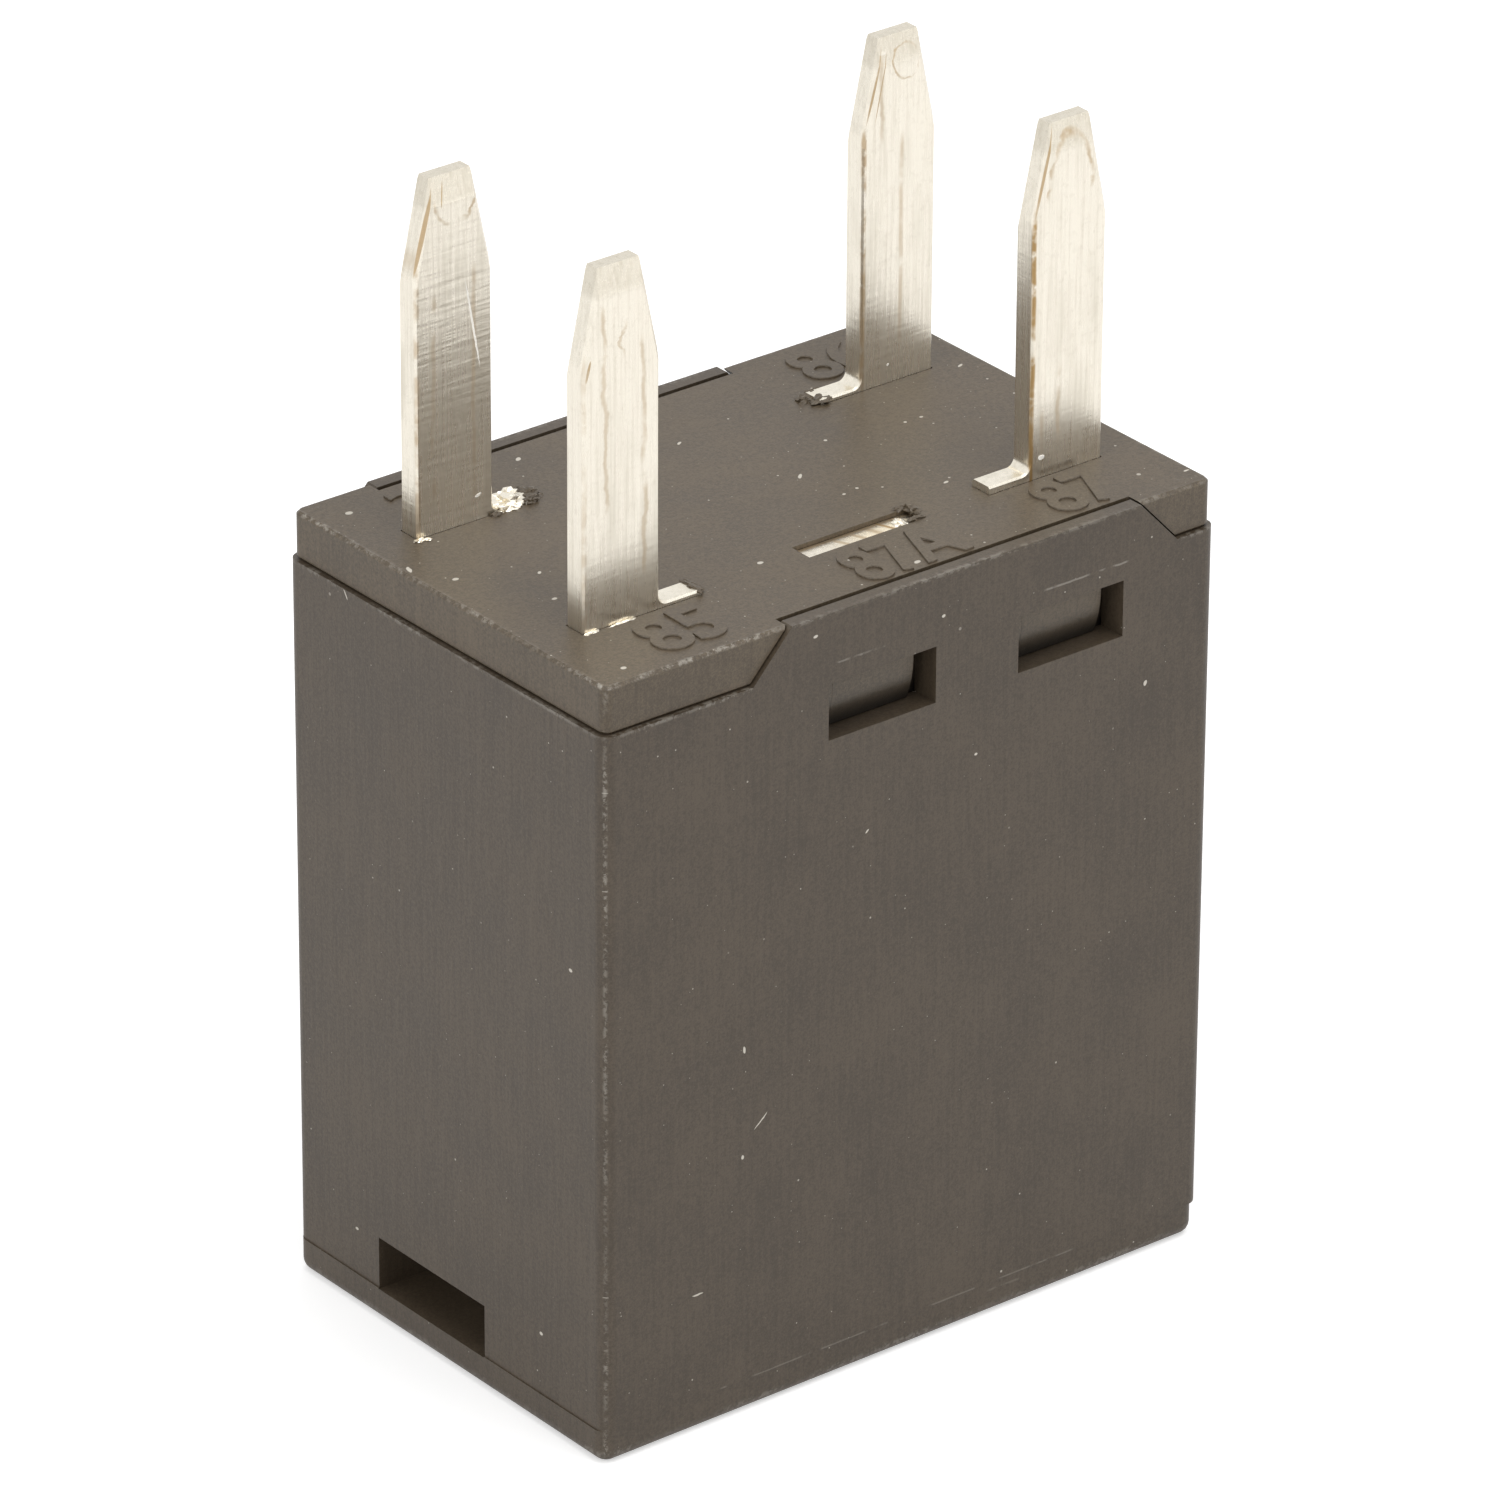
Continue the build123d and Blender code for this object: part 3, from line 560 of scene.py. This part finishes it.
def stainLines(across, arris, z, sway, wobble, look):
    # brown seams where the plating broke, wandering up the blade, and round the coined tip
    edgeAt = -blade["halfWidth"] + 0.06
    fromEdge = abs(across - edgeAt + (sway - 0.5) * 0.1)
    total = fromEdge.rise(0.11, 0.03) * look["edge"] * wobble.rise(0.3, 0.5) * arris
    for offset, low, high, swing in look["lines"]:
        reach = z.rise(low - 0.3, low + 0.3) * z.rise(high + 0.3, high - 0.3)
        away = abs(across - offset + (sway - 0.5) * (2 * swing))
        total = total.most(away.rise(blade["lineWidth"] * 2.4, blade["lineWidth"] * 0.4) * reach * 0.4)
    if look["ring"]:
        ringX, ringZ, wide, tall, part = look["ring"]
        sideways = (across - ringX + (wobble - 0.5) * 0.5) / wide
        upwards = (z - ringZ - (wobble - 0.5) * 0.5) / tall
        out = sideways * sideways + upwards * upwards
        seen = z.rise(ringZ - part * 0.2, ringZ + part * 0.2) if part else 1.0
        total = total.most(abs(out - 1).rise(0.24, 0.02) * seen * wobble.rise(0.25, 0.6) * 0.6)
    for scratch in look["dark"]:
        total = total.most(mark(across, z, scratch) * 0.8)
    return total


def crackLines(x, y, sway, look):
    # cracks and smears across the cropped strip, slanting, and a brown line along its rear edge
    fromEdge = abs(y + relay["rows"] - blade["stripEdge"] + (sway - 0.5) * 0.2)
    total = fromEdge.rise(0.12, 0.03) * 0.7
    for place, width in look["cracks"]:
        away = abs(x - place + (y + relay["rows"]) * 0.4 + (sway - 0.5) * 0.5)
        total = total.most(away.rise(width * 2, width * 0.5) * (0.9 if width < 0.06 else 0.55))
    return total


def tinnedStrip(name, look):
    made, start = newMaterial(name + "_tinned")
    row = relay["rows"] * (1 if name in ("terminal_30", "terminal_86") else -1)
    front = row - blade["halfThick"]
    point, x, y, z = places(start)
    moved = stretched(point, (1, 1, 1), (look["shift"], look["shift"] * 0.7, look["shift"] * 1.3))
    lines = noise(stretched(moved, (blade["brushing"], blade["brushing"], 0.3)), 1.0, 3.0, 0.6)
    bands = noise(stretched(moved, (1.6, 1.6, 0.2)), 1.0, 3.0, 0.55)
    cloud = noise(moved, 0.8, 3.0)
    pits = noise(moved, 5.0, 3.0, 0.65)
    chatter = noise(stretched(moved, (0.5, 0.5, 6.0)), 1.0, 2.0) * look["chatter"]
    tarnish = (bands * 0.6 + cloud * 0.4).rise(0.42, 0.62) * look["tarnish"]
    above = blade["tarnishAbove"]
    tarnish = tarnish * (z.rise(*blade["tarnishFades"]) * (1 - above) + above)
    metal = tarnish.colour(blade["bright"], blade["dull"])
    coined = [relay["tip"] - below for below in blade["coined"]]
    tip = z.rise(*coined) * blade["tipDull"]
    worn = lines.rise(0.4, 0.75) * 0.42 + pits.rise(0.52, 0.7) * 0.22 + tip
    metal = worn.colour(metal, blade["dull"])
    sway = noise(stretched(moved, (0.3, 0.3, 0.5)), 1.0, 5.0, 0.62)
    across = x - relay["columns"] * look["side"]
    outside = z.rise(*[relay["header"] - below for below in blade["stainDepth"]])
    if look["side"]:
        wobble = noise(moved, 1.7, 3.0, 0.6)
        arris = y.rise(*[front + behind for behind in blade["arris"]])
        seams = stainLines(across, arris, z, sway, wobble, look) * cloud.rise(0.3, 0.5) * outside
    else:
        seams = crackLines(x, y, sway, look) * outside
    metal = seams.colour(metal, blade["brown"])
    if look["bright"]:
        ragged = (pits - 0.5) * 0.06
        onFace = y.rise(*[front + behind for behind in blade["skin"]])
        fresh = marks(across, z, look["bright"], ragged) * onFace
        metal = fresh.colour(metal, blade["fresh"])
        lines = lines + fresh * 1.5
    rough = (lines - 0.5) * 0.24 + tarnish * 0.1 + seams * 0.2 + blade["gloss"]
    sockets = {"Base Color": metal, "Roughness": rough, "Metallic": 1.0}
    height = lines + cloud * 0.6 + chatter + pits * 0.4
    return surface(start, made, sockets, height, blade["brushDepth"], blade["brushStrength"])


bladePaints = {node: tinnedStrip(node, look) for node, look in bladeLooks.items()}
for node, bladePaint in bladePaints.items():
    paint(node, bladePaint)
print("terminals painted")


# Works inside the cover


worksLooks = {
    "plating": {
        "pale": (0.66, 0.66, 0.62),
        "dark": (0.46, 0.45, 0.41),
        "metal": 1.0,
        "gloss": 0.38,
        "grain": 3.0,
    },
    "bronze": {
        "pale": (0.72, 0.46, 0.24),
        "dark": (0.48, 0.29, 0.14),
        "metal": 1.0,
        "gloss": 0.30,
        "grain": 5.0,
    },
    "rivet": {
        "pale": (0.70, 0.69, 0.66),
        "dark": (0.50, 0.49, 0.46),
        "metal": 1.0,
        "gloss": 0.33,
        "grain": 6.0,
    },
    "silver": {
        "pale": (0.86, 0.85, 0.82),
        "dark": (0.52, 0.50, 0.46),
        "metal": 1.0,
        "gloss": 0.26,
        "grain": 4.0,
    },
    "solder": {
        "pale": (0.68, 0.68, 0.67),
        "dark": (0.42, 0.42, 0.41),
        "metal": 1.0,
        "gloss": 0.22,
        "grain": 2.0,
    },
    "nylon": {
        "pale": (0.070, 0.068, 0.064),
        "dark": (0.048, 0.046, 0.043),
        "metal": 0.0,
        "gloss": 0.5,
        "grain": 7.0,
    },
}
worksGrain = {"depth": 0.006, "strength": 0.6}
worksNodes = {
    "plating": ["yoke", "core", "armature"],
    "bronze": ["contact_spring"],
    "rivet": ["yoke_rivets", "armature_rivets"],
    "silver": ["moving_contact", "contact_87", "contact_87a"],
    "solder": ["solder"],
    "nylon": ["bobbin"],
}


def plainWorks(name, look):
    made, start = newMaterial(name)
    point = places(start)[0]
    fine = noise(point, look["grain"], 4.0, 0.65)
    cloud = noise(point, 0.6, 2.0)
    colour = (fine * 0.5 + cloud * 0.5).rise(0.35, 0.65).colour(look["dark"], look["pale"])
    rough = (fine - 0.5) * 0.2 + look["gloss"]
    sockets = {"Base Color": colour, "Roughness": rough, "Metallic": look["metal"]}
    return surface(start, made, sockets, fine, worksGrain["depth"], worksGrain["strength"])


for finish, nodes in worksNodes.items():
    finishMaterial = plainWorks(finish, worksLooks[finish])
    for node in nodes:
        paint(node, finishMaterial)


weld = 0.001  # corners closer than this are one, in millimetres


def mergedCopy(node, name):
    # a piece of its own with the CAD node's shape, its loose triangles joined
    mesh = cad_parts[node].data.copy()
    form = bmesh.new()
    form.from_mesh(mesh)
    bmesh.ops.remove_doubles(form, verts=form.verts, dist=weld * mm)
    bmesh.ops.recalc_face_normals(form, faces=form.faces)
    form.to_mesh(mesh)
    form.free()
    made = bpy.data.objects.new(name, mesh)
    bpy.context.collection.objects.link(made)
    return made


leaf = mergedCopy("contact_spring", "spring_leaf")
leaf.data.materials.clear()
leaf.data.materials.append(bpy.data.materials["bronze"])
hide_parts("contact_spring")
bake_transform(leaf)


wire = {
    "pale": (0.62, 0.23, 0.09),
    "dark": (0.30, 0.09, 0.035),
    "turns": 8.0,  # turns per millimetre of the winding's height
    "depth": 0.03,
    "strength": 0.8,
    "gloss": 0.36,
    "metal": 0.8,
    "coat": 0.6,
    "wander": 0.25,  # how far a turn strays from level, in millimetres
}


def enamelledWire(name, wound):
    made, start = newMaterial(name)
    point, _, _, z = places(start)
    drift = noise(point, 0.5, 2.0)
    if wound:
        phase = (z + drift * wire["wander"]) * (wire["turns"] * 2 * math.pi)
        turns = start.maths("SINE", phase) * 0.5 + 0.5
    else:
        turns = noise(point, 6.0, 2.0)
    colour = (turns * 0.7 + drift * 0.3).rise(0.1, 0.75).colour(wire["dark"], wire["pale"])
    rough = wire["gloss"] - turns * 0.1
    sockets = {
        "Base Color": colour,
        "Roughness": rough,
        "Metallic": wire["metal"],
        "Coat Weight": wire["coat"],
    }
    return surface(start, made, sockets, turns, wire["depth"], wire["strength"])


paint("winding", enamelledWire("wound_wire", True))
for node in ("lead_85", "lead_86"):
    paint(node, enamelledWire("wire_end", False))
print("works painted")


# Raised numbers on the header


numbers = {
    "height": 2.15,  # of the figures
    "weight": 0.018,  # extra stroke at each side, for a type size of 1
    "raise": 0.065,
    "sunk": 0.05,
    "spacing": 0.93,  # of the figures, where 1 is the type's own
    "curveSteps": 4,
    "weld": 0.002,
    "rows": {
        # left edge, right edge, foot
        "85": (-8.65, -6.1, -6.9),
        "87A": (-1.05, 2.8, -6.95),
        "87": (6.35, 8.95, -6.85),
        "86": (6.4, 8.95, 4.85),
        "30": (-8.9, -6.35, 4.5),
    },
}


def raisedNumber(text, left, right, foot):
    curve = bpy.data.curves.new("number_" + text, "FONT")
    curve.body = text
    curve.size = 1.0
    curve.offset = numbers["weight"]
    curve.resolution_u = numbers["curveSteps"]
    curve.extrude = 0.5  # to both sides, so one thick before it is scaled
    curve.space_character = numbers["spacing"]
    shown = bpy.data.objects.new("number_curve_" + text, curve)
    bpy.context.collection.objects.link(shown)
    bpy.context.view_layer.update()
    mesh = bpy.data.meshes.new_from_object(shown.evaluated_get(bpy.context.evaluated_depsgraph_get()))
    bpy.data.objects.remove(shown)
    xs = [corner.co.x for corner in mesh.vertices]
    ys = [corner.co.y for corner in mesh.vertices]
    tall = numbers["height"] / (max(ys) - min(ys))
    wide = (right - left) / (max(xs) - min(xs))
    thick = numbers["raise"] + numbers["sunk"]
    middle = relay["header"] + numbers["raise"] - thick / 2
    scale = Matrix.Diagonal((wide * mm, tall * mm, thick * mm, 1))
    place = ((left - min(xs) * wide) * mm, (foot - min(ys) * tall) * mm, middle * mm)
    mesh.transform(Matrix.Translation(place) @ scale)
    form = bmesh.new()
    form.from_mesh(mesh)
    bmesh.ops.remove_doubles(form, verts=form.verts, dist=numbers["weld"] * mm)
    bmesh.ops.recalc_face_normals(form, faces=form.faces)
    form.to_mesh(mesh)
    form.free()
    mesh.materials.clear()
    mesh.materials.append(headerPlastic)
    made = bpy.data.objects.new("number_" + text, mesh)
    bpy.context.collection.objects.link(made)
    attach(made, "housing")


for text, (left, right, foot) in numbers["rows"].items():
    raisedNumber(text, left, right, foot)
print("numbers raised")


# Crumbs of tin and torn plastic at the blades' feet


crumbShape = {
    "subdivisions": 3,
    "lumps": 1.7,  # how close together, on a ball of radius 1
    "pimples": 4.1,
    "pimpleShare": 0.5,
}

# place x, y and height above the header, half sizes along x, y and z, roughness of shape, seed
tinCrumbs = {
    "stake_30_a": (-6.30, 3.98, 0.08, 0.52, 0.42, 0.20, 0.9, 3),
    "stake_30_b": (-5.95, 4.25, 0.06, 0.30, 0.24, 0.17, 0.9, 8),
    "stake_30_c": (-6.70, 3.72, 0.04, 0.24, 0.18, 0.18, 0.8, 14),
    "stake_30_d": (-6.15, 3.60, 0.02, 0.18, 0.12, 0.14, 0.8, 17),
    "crumb_30_a": (-9.78, 3.50, 0.0, 0.20, 0.10, 0.08, 0.5, 21),
    "crumb_30_b": (-9.55, 3.42, 0.0, 0.12, 0.09, 0.06, 0.5, 25),
    "crumb_85_a": (-9.55, -4.46, 0.0, 0.24, 0.07, 0.05, 0.5, 33),
    "crumb_85_b": (-8.35, -4.46, 0.0, 0.42, 0.06, 0.05, 0.5, 38),
    "crumb_87a": (2.35, -3.95, -0.14, 0.20, 0.28, 0.06, 0.6, 44),
}
tornCrumbs = {
    "torn_30_a": (-5.32, 4.05, 0.05, 0.34, 0.36, 0.14, 0.7, 51),
    "torn_30_b": (-5.60, 4.50, 0.02, 0.36, 0.16, 0.12, 0.7, 54),
    "torn_30_c": (-5.62, 3.62, 0.05, 0.26, 0.16, 0.13, 0.7, 58),
    "torn_30_d": (-6.95, 3.50, 0.0, 0.20, 0.10, 0.10, 0.7, 60),
    "torn_86_a": (5.62, 3.80, 0.06, 0.34, 0.24, 0.12, 0.6, 63),
    "torn_86_b": (5.30, 4.15, 0.0, 0.30, 0.26, 0.16, 0.6, 67),
    "torn_86_c": (5.75, 4.38, 0.06, 0.30, 0.14, 0.12, 0.6, 71),
    "torn_87a_a": (3.02, -3.75, 0.0, 0.18, 0.30, 0.10, 0.6, 77),
    "torn_87a_b": (2.80, -3.48, 0.0, 0.32, 0.12, 0.10, 0.6, 79),
    "torn_87a_c": (2.72, -4.32, 0.0, 0.26, 0.10, 0.09, 0.6, 81),
    "torn_85": (-5.45, -3.98, 0.08, 0.22, 0.46, 0.13, 0.5, 83),
}


def crumb(name, facts, paintedWith):
    x, y, above, halfX, halfY, halfZ, ragged, seed = facts
    form = bmesh.new()
    bmesh.ops.create_icosphere(form, subdivisions=crumbShape["subdivisions"], radius=1.0)
    pimply = ragged * crumbShape["pimpleShare"]
    for corner in form.verts:
        way = corner.co.normalized()
        swell = 1 + ragged * fieldNoise.noise(way * crumbShape["lumps"] + Vector((seed, seed * 0.5, 0)))
        swell += pimply * fieldNoise.noise(way * crumbShape["pimples"] + Vector((0, seed, seed * 0.3)))
        corner.co = Vector((way.x * halfX, way.y * halfY, way.z * halfZ)) * swell
        corner.co = (corner.co + Vector((x, y, relay["header"] + above))) * mm
    mesh = bpy.data.meshes.new(name)
    form.to_mesh(mesh)
    form.free()
    mesh.materials.append(paintedWith)
    made = bpy.data.objects.new(name, mesh)
    bpy.context.collection.objects.link(made)
    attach(made, "housing")


for name, facts in tinCrumbs.items():
    crumb(name, facts, bladePaints["terminal_87a"])
for name, facts in tornCrumbs.items():
    crumb(name, facts, headerPlastic)
print("crumbs laid")


# Stage: floor, background, lights and camera


stage = {
    "floorSize": 1.6,
    "floorGlow": 0.45,  # added for the camera
    "floorSheen": 0.2,  # added in reflections
    "paper": (0.8, 0.8, 0.8, 1),
    "paperRough": 0.9,
    "ambient": 0.50,
    "camera": (-181.057, -226.875, 164.744),
    "back": (-0.55591, -0.69694, 0.45304),
    "roll": 0.304,
    "lens": 259.6,
    "sensor": 36.0,
    "sees": (0.02, 10.0),  # nearest and farthest, in metres
    "aim": (0, 0, 0.018),  # the lamps' target, in metres
}


def rayKinds(start):
    # whether the camera looks, and whether a reflection or a see-through surface does
    rays = start.node("ShaderNodeLightPath").out.node.outputs
    direct = Signal(start.tree, rays["Is Camera Ray"])
    glossy = Signal(start.tree, rays["Is Glossy Ray"])
    return direct, glossy.most(Signal(start.tree, rays["Is Transmission Ray"]))


def makeFloor():
    form = bmesh.new()
    bmesh.ops.create_grid(form, x_segments=1, y_segments=1, size=stage["floorSize"] / 2)
    mesh = bpy.data.meshes.new("floor")
    form.to_mesh(mesh)
    form.free()
    made, start = newMaterial("floor_paper")
    direct, reflected = rayKinds(start)
    glow = direct * stage["floorGlow"] + reflected * stage["floorSheen"]
    sockets = {
        "Base Color": stage["paper"],
        "Roughness": stage["paperRough"],
        "Emission Color": (1, 1, 1, 1),
        "Emission Strength": glow,
    }
    mesh.materials.append(surface(start, made, sockets))
    floor = bpy.data.objects.new("floor", mesh)
    bpy.context.collection.objects.link(floor)


def makeWorld():
    world = bpy.data.worlds.new("studio")
    bpy.context.scene.world = world
    world.use_nodes = True
    tree = world.node_tree
    tree.nodes.clear()
    start = Signal(tree)
    direct, reflected = rayKinds(start)
    strength = direct.most(reflected) * (1 - stage["ambient"]) + stage["ambient"]
    sky = start.node("ShaderNodeBackground", {}, {"Color": (1, 1, 1, 1), "Strength": strength})
    tree.links.new(sky.out, tree.nodes.new("ShaderNodeOutputWorld").inputs["Surface"])


lamps = {
    # place in metres, size, power in watts
    "top": {"place": (0.05, -0.10, 0.60), "size": 0.50, "power": 1.9},
    "left": {"place": (-0.55, -0.10, 0.30), "size": 0.40, "power": 1.15},
    "front": {"place": (0.20, -0.60, 0.25), "size": 0.40, "power": 0.85},
}


def makeLamps():
    for name, facts in lamps.items():
        light = bpy.data.lights.new(name, "AREA")
        light.shape = "SQUARE"
        light.size = facts["size"]
        light.energy = facts["power"]
        holder = bpy.data.objects.new("lamp_" + name, light)
        holder.location = facts["place"]
        aim = Vector(stage["aim"]) - Vector(facts["place"])
        holder.rotation_euler = aim.to_track_quat("-Z", "Y").to_euler()
        bpy.context.collection.objects.link(holder)


def makeCamera():
    camera = bpy.data.cameras.new("camera")
    camera.lens = stage["lens"]
    camera.sensor_width = stage["sensor"]
    camera.clip_start, camera.clip_end = stage["sees"]
    back = Vector(stage["back"]).normalized()
    side = Vector((-back.y, back.x, 0)).normalized()
    up = back.cross(side)
    roll = math.radians(stage["roll"])
    right = side * math.cos(roll) + up * math.sin(roll)
    top = back.cross(right)
    holder = bpy.data.objects.new("camera", camera)
    turn = Matrix((right, top, back)).transposed().to_4x4()
    holder.matrix_world = Matrix.Translation(Vector(stage["camera"]) * mm) @ turn
    bpy.context.collection.objects.link(holder)
    bpy.context.scene.camera = holder


makeFloor()
makeWorld()
makeLamps()
makeCamera()
bpy.context.scene.view_settings.view_transform = "Standard"
print("stage set")
